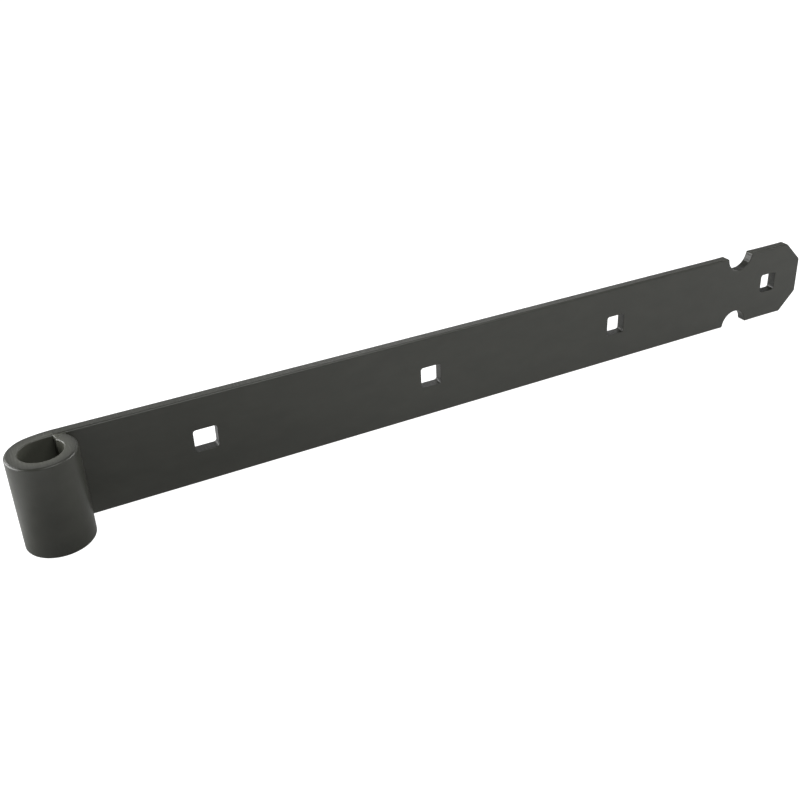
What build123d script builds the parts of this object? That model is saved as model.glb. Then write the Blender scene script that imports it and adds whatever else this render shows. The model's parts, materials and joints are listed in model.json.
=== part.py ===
"""Strap hinge leaf for a gate: a flat steel bar with a rolled pin eye, closed by a weld bead.

Frame: origin at the middle of the pin eye's axis. +X runs along the strap from the eye to the tip,
+Y points into the gate that the strap is bolted to, and +Z runs up the pin. Millimetres.
"""
from build123d import *
from math import asin, cos, degrees, radians, sin
import os

# The bar
WIDTH = 40.0                    # height of the bar along the pin
THICKNESS = 5.0
TIP_X = 400.0                   # pin axis to the tip of the strap
EDGE_ROUND = 0.8                # softened long edges of the rolled bar

# The pin eye
PIN_RADIUS = 8.0
PIN_CLEARANCE = 0.25
BORE_RADIUS = PIN_RADIUS + PIN_CLEARANCE
EYE_RADIUS = BORE_RADIUS + THICKNESS
FACE_Y = 9.2                    # pin axis to the front face of the strap
LEAD_TURN = 15.0                # gentle bend, in degrees, between the strap and the tight roll
ROLL_GAP = 0.35                 # the roll stops just short of the strap's face

# Square holes for carriage bolts
HOLE_SIDE = 10.2
HOLE_CORNER = 1.2
SHANK_HOLES = 3                 # holes between the eye and the head
FIRST_HOLE_X = 63.0
HOLE_PITCH = 105.5
HEAD_HOLE_X = TIP_X - 22.0

# The necked head
NOTCH_RADIUS = 8.0
NOTCH_X = TIP_X - 44.3
NOTCH_CORNER = 1.2
HEAD_CHAMFER = 10.4
HEAD_CORNER = 2.0

# The weld bead in the wedge behind the roll's end
WELD_RECESS = 0.25              # below the bar's two edges
WELD_INNER_STEP = 0.25          # back from the bore, so that the pin clears it
WELD_TOE_TURN = 3.0             # where the inner toe lies round the lead bend, in degrees
WELD_SAG = 0.15                 # hollow of the bead's inner surface

BACK_Y = FACE_Y + THICKNESS
HALF_WIDTH = WIDTH / 2
CUT_MARGIN = 10.0

# The lead bend is tangent to the strap and to the tight roll.
LEAD_START = 90.0 + LEAD_TURN
LEAD_RADIUS = (BACK_Y - EYE_RADIUS * cos(radians(LEAD_TURN))) / (1 - cos(radians(LEAD_TURN)))
LEAD_X = (LEAD_RADIUS - EYE_RADIUS) * sin(radians(LEAD_TURN))
LEAD_CENTRE = (LEAD_X, BACK_Y - LEAD_RADIUS)
LEAD_FACE_RADIUS = LEAD_RADIUS - THICKNESS

# The roll ends where its outer corner is about to meet the strap's face.
END_ANGLE = degrees(asin((FACE_Y - ROLL_GAP) / EYE_RADIUS))
ROLL_SWEEP = 360.0 + END_ANGLE - LEAD_START


def on_roll(radius, angle):
    """A point of the roll's section, at an angle in degrees from +X."""
    return (radius * cos(radians(angle)), radius * sin(radians(angle)))


# The ribbon: the bar's section along the strap and round the eye, cut to the outline of the flat bar
with BuildPart() as strap:
    with BuildSketch(Plane.XY.offset(-HALF_WIDTH)):
        with BuildLine():
            Line((LEAD_X, BACK_Y), (TIP_X, BACK_Y))
            Line((TIP_X, BACK_Y), (TIP_X, FACE_Y))
            Line((TIP_X, FACE_Y), (LEAD_X, FACE_Y))
            CenterArc(LEAD_CENTRE, LEAD_FACE_RADIUS, 90.0, LEAD_TURN)
            CenterArc((0, 0), BORE_RADIUS, LEAD_START, ROLL_SWEEP)
            Line(on_roll(BORE_RADIUS, END_ANGLE), on_roll(EYE_RADIUS, END_ANGLE))
            CenterArc((0, 0), EYE_RADIUS, LEAD_START, ROLL_SWEEP)
            CenterArc(LEAD_CENTRE, LEAD_RADIUS, 90.0, LEAD_TURN)
        make_face()
    extrude(amount=WIDTH)
    with BuildSketch(Plane.XZ.offset(-BACK_Y - CUT_MARGIN)) as outline:
        with BuildLine():
            Polyline(
                (-EYE_RADIUS - CUT_MARGIN, -HALF_WIDTH),
                (TIP_X - HEAD_CHAMFER, -HALF_WIDTH),
                (TIP_X, HEAD_CHAMFER - HALF_WIDTH),
                (TIP_X, HALF_WIDTH - HEAD_CHAMFER),
                (TIP_X - HEAD_CHAMFER, HALF_WIDTH),
                (-EYE_RADIUS - CUT_MARGIN, HALF_WIDTH),
                close=True,
            )
        make_face()
        head_corners = outline.vertices().group_by(Axis.X)[1:]
        fillet([corner for group in head_corners for corner in group], HEAD_CORNER)
        with Locations((NOTCH_X, -HALF_WIDTH), (NOTCH_X, HALF_WIDTH)):
            Circle(NOTCH_RADIUS, mode=Mode.SUBTRACT)
        notch_corners = [
            corner
            for corner in outline.vertices()
            if abs(corner.X - NOTCH_X) < NOTCH_RADIUS + NOTCH_CORNER
        ]
        fillet(notch_corners, NOTCH_CORNER)
        bolt_stations = [FIRST_HOLE_X + hole * HOLE_PITCH for hole in range(SHANK_HOLES)]
        with Locations(*[(station, 0) for station in [*bolt_stations, HEAD_HOLE_X]]):
            RectangleRounded(HOLE_SIDE, HOLE_SIDE, HOLE_CORNER, mode=Mode.SUBTRACT)
    extrude(amount=BACK_Y + EYE_RADIUS + 2 * CUT_MARGIN, mode=Mode.INTERSECT)
    long_edges = strap.edges().group_by(Axis.Z)
    fillet(long_edges[0] + long_edges[-1], EDGE_ROUND)
strap.part.label = "strap"

with BuildPart() as eye_weld:
    with BuildSketch(Plane.XY.offset(WELD_RECESS - HALF_WIDTH)):
        with BuildLine():
            root = on_roll(BORE_RADIUS + WELD_INNER_STEP, END_ANGLE)
            crown = on_roll(EYE_RADIUS, END_ANGLE)
            Line(root, crown)
            Line(crown, (crown[0] + ROLL_GAP, FACE_Y))
            Line((crown[0] + ROLL_GAP, FACE_Y), (LEAD_X, FACE_Y))
            along_face = CenterArc(LEAD_CENTRE, LEAD_FACE_RADIUS, 90.0, WELD_TOE_TURN)
            SagittaArc(along_face @ 1, root, WELD_SAG)
        make_face()
    extrude(amount=WIDTH - 2 * WELD_RECESS)
eye_weld.part.label = "eye_weld"

os.makedirs("parts", exist_ok=True)
export_step(strap.part, "parts/strap.step")
export_step(eye_weld.part, "parts/eye_weld.step")
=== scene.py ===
"""Looks of a strap hinge leaf: a coated steel bar with a rolled pin eye, closed by a weld bead.

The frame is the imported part's own: X along the strap from the pin axis to the tip, Y into the gate and
Z up the pin. Named sizes are in millimetres and are turned into metres where an object is made;
the few that are in metres from the start say so.
"""

import bpy
import json
from math import asin, cos, hypot, pi, radians, sin, sqrt
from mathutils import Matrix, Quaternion, Vector, noise
from mathutils.geometry import delaunay_2d_cdt


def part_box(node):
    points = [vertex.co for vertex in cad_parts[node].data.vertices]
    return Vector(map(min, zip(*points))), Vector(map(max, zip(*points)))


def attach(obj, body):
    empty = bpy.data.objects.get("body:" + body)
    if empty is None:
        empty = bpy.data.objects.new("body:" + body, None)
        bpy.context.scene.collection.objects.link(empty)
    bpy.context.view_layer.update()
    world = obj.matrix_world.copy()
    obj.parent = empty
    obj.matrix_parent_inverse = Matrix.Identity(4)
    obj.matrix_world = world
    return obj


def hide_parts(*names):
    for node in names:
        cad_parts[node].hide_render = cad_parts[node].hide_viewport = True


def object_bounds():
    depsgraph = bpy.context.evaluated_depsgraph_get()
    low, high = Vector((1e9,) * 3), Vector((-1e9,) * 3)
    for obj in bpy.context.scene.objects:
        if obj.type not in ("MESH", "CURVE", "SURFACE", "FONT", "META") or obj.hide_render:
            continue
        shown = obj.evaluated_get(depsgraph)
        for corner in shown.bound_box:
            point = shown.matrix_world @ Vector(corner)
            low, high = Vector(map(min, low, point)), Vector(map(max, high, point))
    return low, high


MM = 0.001

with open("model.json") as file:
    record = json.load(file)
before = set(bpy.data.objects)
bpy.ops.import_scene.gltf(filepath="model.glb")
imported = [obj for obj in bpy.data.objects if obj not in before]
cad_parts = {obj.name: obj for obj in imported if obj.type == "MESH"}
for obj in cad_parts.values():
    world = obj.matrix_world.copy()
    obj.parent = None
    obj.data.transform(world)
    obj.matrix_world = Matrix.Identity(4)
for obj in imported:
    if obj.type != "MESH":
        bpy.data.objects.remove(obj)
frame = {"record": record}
cad_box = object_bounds()

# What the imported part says, in millimetres
strap_low, strap_high = (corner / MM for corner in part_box("strap"))
mounts = {mount["name"]: mount for mount in frame["record"]["mounts"]}
TIP_X = round(strap_high.x, 3)
BACK_Y = round(strap_high.y, 3)
HALF_WIDTH = round(strap_high.z, 3)
EYE_RADIUS = round(-strap_low.x, 2)
BORE_RADIUS = mounts["eye_bore"]["dims"]["r_mm"]
THICKNESS = EYE_RADIUS - BORE_RADIUS
FACE_Y = BACK_Y - THICKNESS
HOLE_XS = [mounts[name]["pos_m"][0] / MM for name in mounts if "bolt_hole" in name]

# The bend between the strap and the roll, and the roll's end
LEAD_TURN = radians(15.0)
ROLL_GAP = 0.35
LEAD_START = pi / 2 + LEAD_TURN
LEAD_RADIUS = (BACK_Y - EYE_RADIUS * cos(LEAD_TURN)) / (1 - cos(LEAD_TURN))
LEAD_X = (LEAD_RADIUS - EYE_RADIUS) * sin(LEAD_TURN)
END_ANGLE = asin((FACE_Y - ROLL_GAP) / EYE_RADIUS)
ROLL_SWEEP = 2 * pi + END_ANGLE - LEAD_START
LEAD_LENGTH = (LEAD_RADIUS - THICKNESS / 2) * LEAD_TURN
ROLL_LENGTH = (EYE_RADIUS - THICKNESS / 2) * ROLL_SWEEP
ROLL_END = LEAD_X - LEAD_LENGTH - ROLL_LENGTH

# The flat bar's outline and its punched holes
HOLE_SIDE = 10.2
HOLE_CORNER = 1.2
NOTCH_RADIUS = 8.0
NOTCH_X = TIP_X - 44.3
NOTCH_CORNER = 1.2
# How much of the punched walls' painted shade, a darker colour, lies on the notch's walls
NOTCH_SHADE = 0.85
HEAD_CHAMFER = 10.4
HEAD_CORNER = 2.0
END_CORNER = 0.3

# How soft each edge is, and how finely the mesh follows it
ROLLED_EDGE = 0.8
CUT_EDGE = 0.4
HOLE_EDGE = 0.2
ROLL_END_EDGE = 0.3
BORE_EDGE = 0.35
SUPPORT = 0.25
EDGE_STEPS = 6
CORNER_STEP = 0.3
BEND_STEP = 0.6
FLAT_STEP = 2.5
HEAD_LENGTH = 60.0
SAME_PLACE = 1e-5
EDGE_BLURS = 4

# The weld bead between the roll's end and the strap
WELD_RECESS = 0.05
WELD_INNER_STEP = 0.25
WELD_TOE_X = 5.7
WELD_SAG = 0.15
WELD_SINK = 0.3
WELD_END_SINK = 0.7
WELD_CAP = 0.6
WELD_CAP_ROWS = 6
WELD_FLARE = 0.5
WELD_RIPPLE = 0.07
WELD_RIPPLE_PITCH = 1.3
WELD_WANDER_PITCH = 3.0
WELD_ROWS = 120
WELD_COLUMNS = 10
# How much of the bore's painted light, a lighter colour, lies on the weld bead
WELD_PAINTED_LIGHT = 1.0


# ---- the bar, developed flat: u along the bar, v up it, and a depth from its face to its back ----

def bent(u, v, depth):
    """Where a point of the flat bar lies once the eye is rolled, in metres."""
    if u >= LEAD_X:
        return Vector((u, FACE_Y + depth, v)) * MM
    run = LEAD_X - u
    if run <= LEAD_LENGTH:
        angle = pi / 2 + run / LEAD_LENGTH * LEAD_TURN
        radius = LEAD_RADIUS - THICKNESS + depth
        centre_x, centre_y = LEAD_X, BACK_Y - LEAD_RADIUS
    else:
        angle = LEAD_START + (run - LEAD_LENGTH) / ROLL_LENGTH * ROLL_SWEEP
        radius = BORE_RADIUS + depth
        centre_x, centre_y = 0.0, 0.0
    return Vector((centre_x + radius * cos(angle), centre_y + radius * sin(angle), v)) * MM


def run_of_line(start, end, step, edge):
    """Samples of a straight edge with the metal on its left: (u, v, outward normal, edge radius)."""
    du, dv = end[0] - start[0], end[1] - start[1]
    length = hypot(du, dv)
    count = max(1, round(length / step))
    normal = (dv / length, -du / length)
    return [
        (start[0] + du * k / count, start[1] + dv * k / count, normal, edge)
        for k in range(count + 1)
    ]


def run_of_arc(centre, radius, start, end, edge):
    """Samples of an arc; one that turns clockwise is hollow, so its outward normal points at its centre."""
    count = max(3, round(abs(end - start) * radius / CORNER_STEP))
    side = 1 if end > start else -1
    samples = []
    for k in range(count + 1):
        angle = start + (end - start) * k / count
        ray = (cos(angle), sin(angle))
        place = (centre[0] + radius * ray[0], centre[1] + radius * ray[1])
        samples.append((*place, (side * ray[0], side * ray[1]), edge))
    return samples


def joined(runs):
    """One closed loop from its runs, without the points that two share, and with soft changes of edge."""
    loop = []
    for run in runs:
        for sample in run:
            if not loop or hypot(sample[0] - loop[-1][0], sample[1] - loop[-1][1]) > SAME_PLACE:
                loop.append(sample)
    if hypot(loop[0][0] - loop[-1][0], loop[0][1] - loop[-1][1]) < SAME_PLACE:
        loop.pop()
    edges = [sample[3] for sample in loop]
    for _ in range(EDGE_BLURS):
        edges = [
            (edges[k - 1] + 2 * edges[k] + edges[(k + 1) % len(edges)]) / 4
            for k in range(len(edges))
        ]
    return [(u, v, normal, edge) for (u, v, normal, _), edge in zip(loop, edges)]


def lower_half():
    """The outline's runs: from the middle of the roll's end, along the bottom edge, to the tip's middle."""
    v = -HALF_WIDTH
    reach = sqrt(NOTCH_RADIUS**2 + 2 * NOTCH_RADIUS * NOTCH_CORNER)
    lip = asin(NOTCH_CORNER / (NOTCH_RADIUS + NOTCH_CORNER))
    shoulder = (TIP_X - HEAD_CHAMFER, v)
    nose = (TIP_X, v + HEAD_CHAMFER)
    trim = HEAD_CORNER * (sqrt(2) - 1)
    slant = trim / sqrt(2)
    flat_start = LEAD_X + FLAT_STEP
    return [
        run_of_line((ROLL_END, 0), (ROLL_END, v + END_CORNER), FLAT_STEP, ROLL_END_EDGE),
        run_of_arc((ROLL_END + END_CORNER, v + END_CORNER), END_CORNER, pi, 1.5 * pi, ROLL_END_EDGE),
        run_of_line((ROLL_END + END_CORNER, v), (flat_start, v), BEND_STEP, ROLLED_EDGE),
        run_of_line((flat_start, v), (NOTCH_X - reach, v), FLAT_STEP, ROLLED_EDGE),
        run_of_arc((NOTCH_X - reach, v + NOTCH_CORNER), NOTCH_CORNER, -pi / 2, -lip, CUT_EDGE),
        run_of_arc((NOTCH_X, v), NOTCH_RADIUS, pi - lip, lip, CUT_EDGE),
        run_of_arc((NOTCH_X + reach, v + NOTCH_CORNER), NOTCH_CORNER, pi + lip, 1.5 * pi, CUT_EDGE),
        run_of_line((NOTCH_X + reach, v), (shoulder[0] - trim, v), FLAT_STEP, ROLLED_EDGE),
        run_of_arc((shoulder[0] - trim, v + HEAD_CORNER), HEAD_CORNER, -pi / 2, -pi / 4, CUT_EDGE),
        run_of_line(
            (shoulder[0] + slant, v + slant), (nose[0] - slant, nose[1] - slant), FLAT_STEP, CUT_EDGE
        ),
        run_of_arc((TIP_X - HEAD_CORNER, nose[1] + trim), HEAD_CORNER, -pi / 4, 0, CUT_EDGE),
        run_of_line((TIP_X, nose[1] + trim), (TIP_X, 0), FLAT_STEP, CUT_EDGE),
    ]


def outline():
    """The whole outline: the lower half and its mirror image, counter-clockwise."""
    lower = lower_half()
    upper = [
        [(u, -v, (normal[0], -normal[1]), edge) for u, v, normal, edge in reversed(run)]
        for run in reversed(lower)
    ]
    return joined(lower + upper)


def square_hole(station):
    """A punched hole's loop, clockwise, so that its outward normal points into the hole."""
    flat = HOLE_SIDE / 2 - HOLE_CORNER
    half = HOLE_SIDE / 2
    runs = []
    for turn in range(4):
        angle = -turn * pi / 2
        across, up = cos(angle), sin(angle)

        def placed(a, b):
            return (station + a * across - b * up, a * up + b * across)

        runs.append(run_of_line(placed(-flat, half), placed(flat, half), FLAT_STEP, HOLE_EDGE))
        runs.append(
            run_of_arc(placed(flat, flat), HOLE_CORNER, angle + pi / 2, angle, HOLE_EDGE)
        )
    return joined(runs)


def edge_profile(front_edge, back_edge):
    """(inset, depth) down through the bar: flat, round, wall, round, flat."""
    front = [(front_edge + SUPPORT, 0.0)]
    back = [(back_edge + SUPPORT, THICKNESS)]
    for k in range(EDGE_STEPS + 1):
        angle = k / EDGE_STEPS * pi / 2
        inward, down = 1 - sin(angle), 1 - cos(angle)
        front.append((front_edge * inward, front_edge * down))
        back.append((back_edge * inward, THICKNESS - back_edge * down))
    middle = [(0.0, front_edge + SUPPORT), (0.0, THICKNESS - back_edge - SUPPORT)]
    return front + middle + back[::-1]


def front_edge_at(u, edge):
    """The bar's inner edges are squeezed sharper where it is rolled round the pin."""
    share = min(1.0, max(0.0, (LEAD_X - u) / LEAD_LENGTH))
    return edge + (min(edge, BORE_EDGE) - edge) * share


def back_edge_at(u, edge):
    """The bar's outer edges keep their softness all the way round."""
    return edge


def inside(point, loop):
    """Whether a flat point lies inside a loop, by crossings."""
    hit = False
    for k in range(len(loop)):
        (u0, v0), (u1, v1) = loop[k - 1], loop[k]
        if (v0 > point[1]) != (v1 > point[1]):
            if point[0] < u0 + (point[1] - v0) / (v1 - v0) * (u1 - u0):
                hit = not hit
    return hit


def face_columns():
    """Stations of the face's mesh: close together round the roll, wider along the flat strap."""
    columns = []
    u = ROLL_END + 2 * FLAT_STEP / 3
    while u < TIP_X - FLAT_STEP / 2:
        columns.append(u)
        u += BEND_STEP if u < LEAD_X + FLAT_STEP else FLAT_STEP
    return columns


def face_mesh(loops, edge_at):
    """Triangles of one face of the bar between its outline and its holes: (points, triangles)."""
    rings = []
    for loop in loops:
        rings.append([
            (u - normal[0] * (edge_at(u, edge) + SUPPORT), v - normal[1] * (edge_at(u, edge) + SUPPORT))
            for u, v, normal, edge in loop
        ])
    points, edges = [], []
    for ring in rings:
        first = len(points)
        points.extend(ring)
        edges.extend((first + k, first + (k + 1) % len(ring)) for k in range(len(ring)))
    clear = FLAT_STEP / 3
    rows = round(2 * HALF_WIDTH / FLAT_STEP)
    border = list(points)
    for u in face_columns():
        for row in range(1, rows):
            v = -HALF_WIDTH + row * 2 * HALF_WIDTH / rows
            if abs(v) > HALF_WIDTH - ROLLED_EDGE - SUPPORT - clear:
                continue
            near_shape = u > TIP_X - HEAD_LENGTH or any(abs(u - x) < HOLE_SIDE for x in HOLE_XS)
            if near_shape:
                if not inside((u, v), rings[0]) or any(inside((u, v), ring) for ring in rings[1:]):
                    continue
                if any(hypot(u - a, v - b) < clear for a, b in border):
                    continue
            points.append((u, v))
    flat = [Vector(point) for point in points]
    found = delaunay_2d_cdt(flat, edges, [], 0, 1e-6)
    kept = []
    for triangle in found[2]:
        middle = sum((found[0][k] for k in triangle), Vector((0, 0))) / len(triangle)
        if inside(middle, rings[0]) and not any(inside(middle, ring) for ring in rings[1:]):
            kept.append(triangle)
    return found[0], kept


def wall_shade(u, in_hole):
    """How far the punched walls' painted shade, a darker colour standing in for their shade, covers the
    edge wall at station u.
    """
    if in_hole:
        return 1.0
    return NOTCH_SHADE if abs(u - NOTCH_X) < NOTCH_RADIUS else 0.0


def in_bore(u, depth):
    """1 on the half of the bar's thickness that lines the bore, which gets painted light, a lighter colour,
    and 0 elsewhere.
    """
    return 1.0 if depth < THICKNESS / 2 and u < WELD_TOE_X else 0.0


def new_object(name, points, faces, material):
    """A smooth-shaded mesh object from points in metres, riding on the part's only body."""
    mesh = bpy.data.meshes.new(name)
    mesh.from_pydata(points, [], faces)
    mesh.validate()
    mesh.shade_smooth()
    mesh.materials.append(material)
    piece = bpy.data.objects.new(name, mesh)
    bpy.context.scene.collection.objects.link(piece)
    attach(piece, "root")
    return piece


def build_bar(material):
    """The strap with its rolled eye, as one closed mesh that knows its cut walls for their marks, and its
    punched and bore walls for their painted shade and painted light.
    """
    loops = [outline()] + [square_hole(station) for station in HOLE_XS]
    points, faces, cut, punched, bore = [], [], [], [], []
    found = {}

    def vertex(u, v, depth, wall, hole):
        key = (round(u, 4), round(v, 4), round(depth, 4))
        if key not in found:
            found[key] = len(points)
            points.append(bent(u, v, depth))
            cut.append(wall)
            punched.append(hole)
            bore.append(in_bore(u, depth))
        return found[key]

    for depth, edge_at in ((0.0, front_edge_at), (THICKNESS, back_edge_at)):
        flat_points, triangles = face_mesh(loops, edge_at)
        numbers = [vertex(p.x, p.y, depth, 0.0, 0.0) for p in flat_points]
        for a, b, c in triangles:
            turned = (a, b, c) if depth == 0.0 else (a, c, b)
            faces.append(tuple(numbers[k] for k in turned))
    for number, loop in enumerate(loops):
        rows = []
        for u, v, normal, edge in loop:
            row = []
            shade = wall_shade(u, number > 0)
            for inset, depth in edge_profile(front_edge_at(u, edge), back_edge_at(u, edge)):
                wall = 1.0 if inset == 0.0 else 0.0
                place = (u - normal[0] * inset, v - normal[1] * inset, depth)
                row.append(vertex(*place, wall, wall * shade))
            rows.append(row)
        for k in range(len(rows)):
            here, after = rows[k], rows[(k + 1) % len(rows)]
            for j in range(len(here) - 1):
                faces.append((here[j], here[j + 1], after[j + 1], after[j]))
    piece = new_object("hinge_bar", points, faces, material)
    # The attributes: cut walls for the cut marks' bump, punched and notch walls for painted shade, the
    # bore's lining for painted light
    for name, values in (("cut_wall", cut), ("painted_shade_mask", punched), ("painted_light_mask", bore)):
        walls = piece.data.attributes.new(name, "FLOAT", "POINT")
        walls.data.foreach_set("value", values)
    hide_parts("strap")
    return piece


# ---- the weld bead ----

def weld_section(v):
    """The bead's section at height v, counter-clockwise: root, crown, toe and the hollow inner surface."""
    past = max(0.0, abs(v) - (HALF_WIDTH - WELD_RECESS - WELD_CAP))
    cap = WELD_CAP - sqrt(max(0.0, WELD_CAP**2 - past**2))
    root = BORE_RADIUS + WELD_INNER_STEP - cap / 2
    crown = EYE_RADIUS - ROLLED_EDGE / 4
    ray = Vector((cos(END_ANGLE), sin(END_ANGLE)))
    back = Vector((-ray.y, ray.x))
    root_point = ray * root - back * (WELD_END_SINK + cap)
    crown_point = ray * crown - back * WELD_END_SINK
    outer_toe = Vector((crown * ray.x + ROLL_GAP + WELD_FLARE, FACE_Y + WELD_SINK))
    inner_toe = Vector((WELD_TOE_X + cap / 2, FACE_Y + WELD_SINK + cap))
    points = [root_point, crown_point, outer_toe, inner_toe]
    wander = 2 * noise.noise((0, 0, v / WELD_WANDER_PITCH))
    ripple = WELD_RIPPLE * sin(2 * pi * v / WELD_RIPPLE_PITCH + wander)
    face = []
    for k in range(1, WELD_COLUMNS):
        share = k / WELD_COLUMNS
        bow = 4 * share * (1 - share)
        place = inner_toe.lerp(root_point, share)
        across = (root_point - inner_toe).orthogonal().normalized()
        face.append(place + across * bow * (ripple - WELD_SAG))
    return points + face


def weld_heights():
    """Rows up the bead: even along it, and closer together at its rounded ends."""
    flat = HALF_WIDTH - WELD_RECESS - WELD_CAP
    body = [-flat + 2 * flat * k / WELD_ROWS for k in range(WELD_ROWS + 1)]
    turns = [k / WELD_CAP_ROWS * pi / 2 for k in range(1, WELD_CAP_ROWS + 1)]
    cap = [flat + WELD_CAP * sin(turn) for turn in turns]
    return [-v for v in reversed(cap)] + body + cap


def build_weld(material):
    """The bead that fills the wedge between the roll's end and the strap, swept up the pin."""
    points, faces = [], []
    heights = weld_heights()
    for v in heights:
        for place in weld_section(v):
            points.append(Vector((place.x, place.y, v)) * MM)
    count = len(points) // len(heights)
    for row in range(len(heights) - 1):
        for k in range(count):
            a = row * count + k
            b = row * count + (k + 1) % count
            faces.append((a, b, b + count, a + count))
    faces.append(tuple(reversed(range(count))))
    faces.append(tuple(range(len(points) - count, len(points))))
    piece = new_object("weld_bead", points, faces, material)
    # The whole bead gets the bore's painted light, a lighter colour.
    painted_light_values = piece.data.attributes.new("painted_light_mask", "FLOAT", "POINT")
    painted_light_values.data.foreach_set("value", [WELD_PAINTED_LIGHT] * len(points))
    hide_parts("eye_weld")
    return piece


# ---- materials ----

NOISE_MIDDLE = (0.3, 0.7)


def noise_map(tree, scale, stretch, detail=2.0):
    """Solid noise in the part's own frame; stretch draws it out along an axis where it is below 1."""
    place = tree.nodes.new("ShaderNodeTexCoord")
    drawn = tree.nodes.new("ShaderNodeMapping")
    drawn.inputs["Scale"].default_value = stretch
    cells = tree.nodes.new("ShaderNodeTexNoise")
    cells.inputs["Scale"].default_value = scale
    cells.inputs["Detail"].default_value = detail
    tree.links.new(place.outputs["Object"], drawn.inputs["Vector"])
    tree.links.new(drawn.outputs["Vector"], cells.inputs["Vector"])
    return cells.outputs["Fac"]


def spread(tree, value, low, high):
    """The noise's middle range mapped onto low to high."""
    node = tree.nodes.new("ShaderNodeMapRange")
    node.inputs["From Min"].default_value = NOISE_MIDDLE[0]
    node.inputs["From Max"].default_value = NOISE_MIDDLE[1]
    node.inputs["To Min"].default_value = low
    node.inputs["To Max"].default_value = high
    tree.links.new(value, node.inputs["Value"])
    return node.outputs["Result"]


def bump(tree, height, distance, below=None):
    """A bump of that height in metres, on top of another bump's normal."""
    node = tree.nodes.new("ShaderNodeBump")
    node.inputs["Strength"].default_value = 1.0
    node.inputs["Distance"].default_value = distance
    tree.links.new(height, node.inputs["Height"])
    if below is not None:
        tree.links.new(below, node.inputs["Normal"])
    return node.outputs["Normal"]


def marked(tree, attribute):
    """The mesh's own attribute of that name."""
    mask = tree.nodes.new("ShaderNodeAttribute")
    mask.attribute_name = attribute
    return mask.outputs["Fac"]


def masked(tree, value, attribute):
    """The value where the mesh's attribute is 1, and nothing where it is 0."""
    product = tree.nodes.new("ShaderNodeMath")
    product.operation = "MULTIPLY"
    tree.links.new(value, product.inputs[0])
    tree.links.new(marked(tree, attribute), product.inputs[1])
    return product.outputs["Value"]


def blend(tree, factor, low, high):
    """A colour between low and high; each is a colour or a socket."""
    node = tree.nodes.new("ShaderNodeMix")
    node.data_type = "RGBA"
    for socket, colour in (("A", low), ("B", high)):
        if isinstance(colour, tuple):
            node.inputs[socket].default_value = colour
        else:
            tree.links.new(colour, node.inputs[socket])
    tree.links.new(factor, node.inputs["Factor"])
    return node.outputs["Result"]


# The hole and bore colours are set for tone; they are not a separate coat that was seen.
COAT_DARK = (0.0340, 0.0350, 0.0285, 1)
COAT_LIGHT = (0.0400, 0.0412, 0.0335, 1)
# Painted shade: a darker colour for the punched walls and, in part, the notch's walls
PAINTED_SHADE_COLOUR = (0.0160, 0.0165, 0.0135, 1)
# Painted light: a lighter colour for the bore's lining and the weld bead
PAINTED_LIGHT_COLOUR = (0.0740, 0.0760, 0.0620, 1)
COAT_ROUGHNESS = (0.31, 0.38)
COAT_SPECULAR = 0.5

# Noise scales, per metre, and the heights in metres of the bumps that they make
MOTTLE_SCALE = 160.0
SHEEN_SCALE = 420.0
WAVE_SCALE = 70.0
PEEL_SCALE = 1500.0
CUT_MARK_SCALE = 1300.0
CUT_MARK_HEIGHT = 0.00018
BAR_PEEL = 0.000012
BAR_WAVES = 0.00006
WELD_PEEL = 0.00002
WELD_WAVES = 0.0002


def powder_coat(name, peel, wave_height):
    """Dark grey satin powder coat: faint mottling, orange peel and the steel's own waves under it; painted
    shade on the punched and notch walls and painted light in the bore.
    """
    material = bpy.data.materials.new(name)
    material.use_nodes = True
    tree = material.node_tree
    shader = tree.nodes["Principled BSDF"]
    shader.inputs["Specular IOR Level"].default_value = COAT_SPECULAR

    mottle = spread(tree, noise_map(tree, MOTTLE_SCALE, (0.5, 1, 1), 4.0), 0.0, 1.0)
    coat = blend(tree, mottle, COAT_DARK, COAT_LIGHT)
    # The bore's lining and the weld bead get painted light, a lighter colour.
    with_painted_light = blend(tree, marked(tree, "painted_light_mask"), coat, PAINTED_LIGHT_COLOUR)
    # The punched and notch walls get painted shade, a darker colour.
    with_painted_shade = blend(tree, marked(tree, "painted_shade_mask"), with_painted_light, PAINTED_SHADE_COLOUR)
    tree.links.new(with_painted_shade, shader.inputs["Base Color"])

    sheen = spread(tree, noise_map(tree, SHEEN_SCALE, (1, 1, 1), 3.0), *COAT_ROUGHNESS)
    tree.links.new(sheen, shader.inputs["Roughness"])

    waves = bump(tree, noise_map(tree, WAVE_SCALE, (0.35, 1, 1), 1.0), wave_height)
    skin = bump(tree, noise_map(tree, PEEL_SCALE, (1, 1, 1)), peel, waves)
    marks = masked(tree, noise_map(tree, CUT_MARK_SCALE, (1, 0.08, 1)), "cut_wall")
    tree.links.new(bump(tree, marks, CUT_MARK_HEIGHT, skin), shader.inputs["Normal"])
    return material


# ---- stage ----

# The camera sees the floor as plain white. Towards the part it glows unevenly, in zones matched by tone:
# painted light and shade, with a painted contact shadow at the eye's foot.
FLOOR_SIDE = 12.0               # metres
FLOOR_ALBEDO = 0.35
BACKDROP_GLOW = 1.02
GLOW_BEHIND = 0.38
GLOW_BESIDE_EYE = 0.58
GLOW_FRONT_LEFT = 0.19
GLOW_FRONT_RIGHT = 0.445
# No glow round the eye's foot: a painted contact shadow
GLOW_AT_FOOT = 0.0
GLOW_FADE_Y = (-10.0, 35.0)
GLOW_FADE_BESIDE = (-5.0, 22.0)
GLOW_FADE_X = (45.0, 185.0)
GLOW_FADE_FOOT = (20.0, 58.0)
PAINTED_SHADOW_CENTRE = Vector((-13.0, -30.0, -HALF_WIDTH)) * MM
WORLD_LIGHT = 0.03


def seen_directly(tree):
    """1 where the backdrop is seen directly, and 0 where it only lights the part or shows in its gloss."""
    return tree.nodes.new("ShaderNodeLightPath").outputs["Is Camera Ray"]


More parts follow.
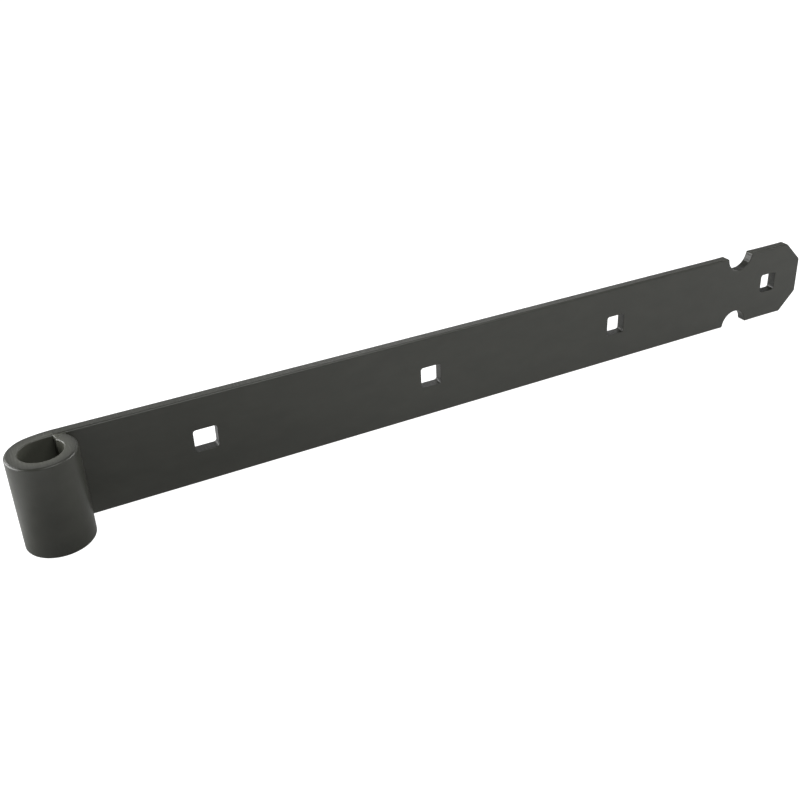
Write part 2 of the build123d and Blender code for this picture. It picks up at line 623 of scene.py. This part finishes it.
def faded(tree, value, start, end, low, high):
    """A soft step from low to high as value goes from start to end; both levels are numbers or sockets."""
    node = tree.nodes.new("ShaderNodeMapRange")
    node.interpolation_type = "SMOOTHSTEP"
    node.inputs["From Min"].default_value = start
    node.inputs["From Max"].default_value = end
    tree.links.new(value, node.inputs["Value"])
    for socket, level in (("To Min", low), ("To Max", high)):
        if isinstance(level, float):
            node.inputs[socket].default_value = level
        else:
            tree.links.new(level, node.inputs[socket])
    return node.outputs["Result"]


def build_floor():
    """A plain pale light table at the part's underside; its glow is a painted contact shadow at the eye's
    foot and painted light and shade graded elsewhere.
    """
    side = FLOOR_SIDE
    z = cad_box[0].z
    mesh = bpy.data.meshes.new("floor")
    corners = [(-side, -side, z), (side, -side, z), (side, side, z), (-side, side, z)]
    mesh.from_pydata(corners, [], [(0, 1, 2, 3)])
    floor = bpy.data.objects.new("floor", mesh)
    bpy.context.scene.collection.objects.link(floor)
    material = bpy.data.materials.new("pale_floor")
    material.use_nodes = True
    tree = material.node_tree
    shader = tree.nodes["Principled BSDF"]
    shader.inputs["Base Color"].default_value = (FLOOR_ALBEDO, FLOOR_ALBEDO, FLOOR_ALBEDO, 1)
    shader.inputs["Roughness"].default_value = 1.0
    shader.inputs["Specular IOR Level"].default_value = 0.0
    shader.inputs["Emission Color"].default_value = (1, 1, 1, 1)
    spot = tree.nodes.new("ShaderNodeTexCoord").outputs["Object"]
    place = tree.nodes.new("ShaderNodeSeparateXYZ")
    tree.links.new(spot, place.inputs["Vector"])
    from_foot = tree.nodes.new("ShaderNodeVectorMath")
    from_foot.operation = "DISTANCE"
    from_foot.inputs[1].default_value = PAINTED_SHADOW_CENTRE
    tree.links.new(spot, from_foot.inputs[0])
    x_fade = [x * MM for x in GLOW_FADE_X]
    y_fade = [y * MM for y in GLOW_FADE_Y]
    beside_fade = [x * MM for x in GLOW_FADE_BESIDE]
    foot_fade = [radius * MM for radius in GLOW_FADE_FOOT]
    along = faded(tree, place.outputs["X"], *x_fade, GLOW_FRONT_LEFT, GLOW_FRONT_RIGHT)
    beside = faded(tree, place.outputs["X"], *beside_fade, GLOW_BESIDE_EYE, along)
    front = faded(tree, from_foot.outputs["Value"], *foot_fade, GLOW_AT_FOOT, beside)
    cast = faded(tree, place.outputs["Y"], *y_fade, front, GLOW_BEHIND)
    glow = faded(tree, seen_directly(tree), 0.0, 1.0, cast, BACKDROP_GLOW)
    tree.links.new(glow, shader.inputs["Emission Strength"])
    mesh.materials.append(material)


def build_world():
    """An even dim surround, seen as white behind the floor's far edge."""
    world = bpy.data.worlds.new("studio")
    world.use_nodes = True
    tree = world.node_tree
    sky = tree.nodes["Background"]
    sky.inputs["Color"].default_value = (1, 1, 1, 1)
    strength = tree.nodes.new("ShaderNodeMapRange")
    strength.inputs["To Min"].default_value = WORLD_LIGHT
    strength.inputs["To Max"].default_value = 1.0
    tree.links.new(seen_directly(tree), strength.inputs["Value"])
    tree.links.new(strength.outputs["Result"], sky.inputs["Strength"])
    bpy.context.scene.world = world


# Softboxes: name, azimuth and elevation as seen from the part, then metres of distance, width and
# height, and watts
SOFTBOXES = [
    ("front_high", 14, 53, 1.3, 1.0, 0.6, 9.0),
    ("right", 85, 14, 1.3, 0.9, 0.6, 10.4),
    ("left_back", -113, 16, 1.2, 1.1, 0.8, 22.0),
    ("back_left", -155, 22, 1.3, 0.5, 0.5, 1.3),
    ("back", 175, 30, 1.3, 0.6, 0.5, 0.7),
    ("back_right", 150, 30, 1.3, 0.6, 0.5, 1.15),
    ("far_right", 126, 21, 1.3, 0.5, 0.4, 0.23),
    ("overhead", 90, 75, 1.3, 1.2, 0.5, 1.3),
]


def build_softboxes():
    """Area lights round the part, all facing its middle. Azimuth 0 is in front, at -Y, and 90 at +X."""
    middle = (cad_box[0] + cad_box[1]) / 2
    for name, azimuth, elevation, distance, width, height, watts in SOFTBOXES:
        turn, rise = radians(azimuth), radians(elevation)
        away = Vector((sin(turn) * cos(rise), -cos(turn) * cos(rise), sin(rise)))
        data = bpy.data.lights.new(name, "AREA")
        data.shape = "RECTANGLE"
        data.size = width
        data.size_y = height
        data.energy = watts
        lamp = bpy.data.objects.new(name, data)
        lamp.location = middle + away * distance
        lamp.rotation_mode = "QUATERNION"
        lamp.rotation_quaternion = (-away).to_track_quat("-Z", "Y")
        bpy.context.scene.collection.objects.link(lamp)


CAMERA_PLACE = Vector((-16.85, -348.64, 217.37)) * MM
CAMERA_AIM = Vector((179.32, 9.2, 7.8)) * MM
CAMERA_ROLL = radians(-1.117)
CAMERA_LENS = 44.87             # for a sensor of the width below
CAMERA_SENSOR = 36.0
CAMERA_CLIP = (0.01, 30.0)      # metres
CAMERA_SHIFT = (-0.0644, -0.0557)


def build_camera():
    """The viewpoint: in front of the eye, looking along and down on the strap."""
    data = bpy.data.cameras.new("camera")
    data.lens = CAMERA_LENS
    data.sensor_width = CAMERA_SENSOR
    data.shift_x, data.shift_y = CAMERA_SHIFT
    data.clip_start, data.clip_end = CAMERA_CLIP
    camera = bpy.data.objects.new("camera", data)
    camera.rotation_mode = "QUATERNION"
    look = (CAMERA_AIM - CAMERA_PLACE).to_track_quat("-Z", "Y")
    camera.rotation_quaternion = look @ Quaternion((0, 0, 1), CAMERA_ROLL)
    camera.location = CAMERA_PLACE
    bpy.context.scene.collection.objects.link(camera)
    bpy.context.scene.camera = camera


build_bar(powder_coat("powder_coat", BAR_PEEL, BAR_WAVES))
build_weld(powder_coat("powder_coat_weld", WELD_PEEL, WELD_WAVES))
build_floor()
build_world()
build_softboxes()
build_camera()
bpy.context.scene.view_settings.view_transform = "Standard"
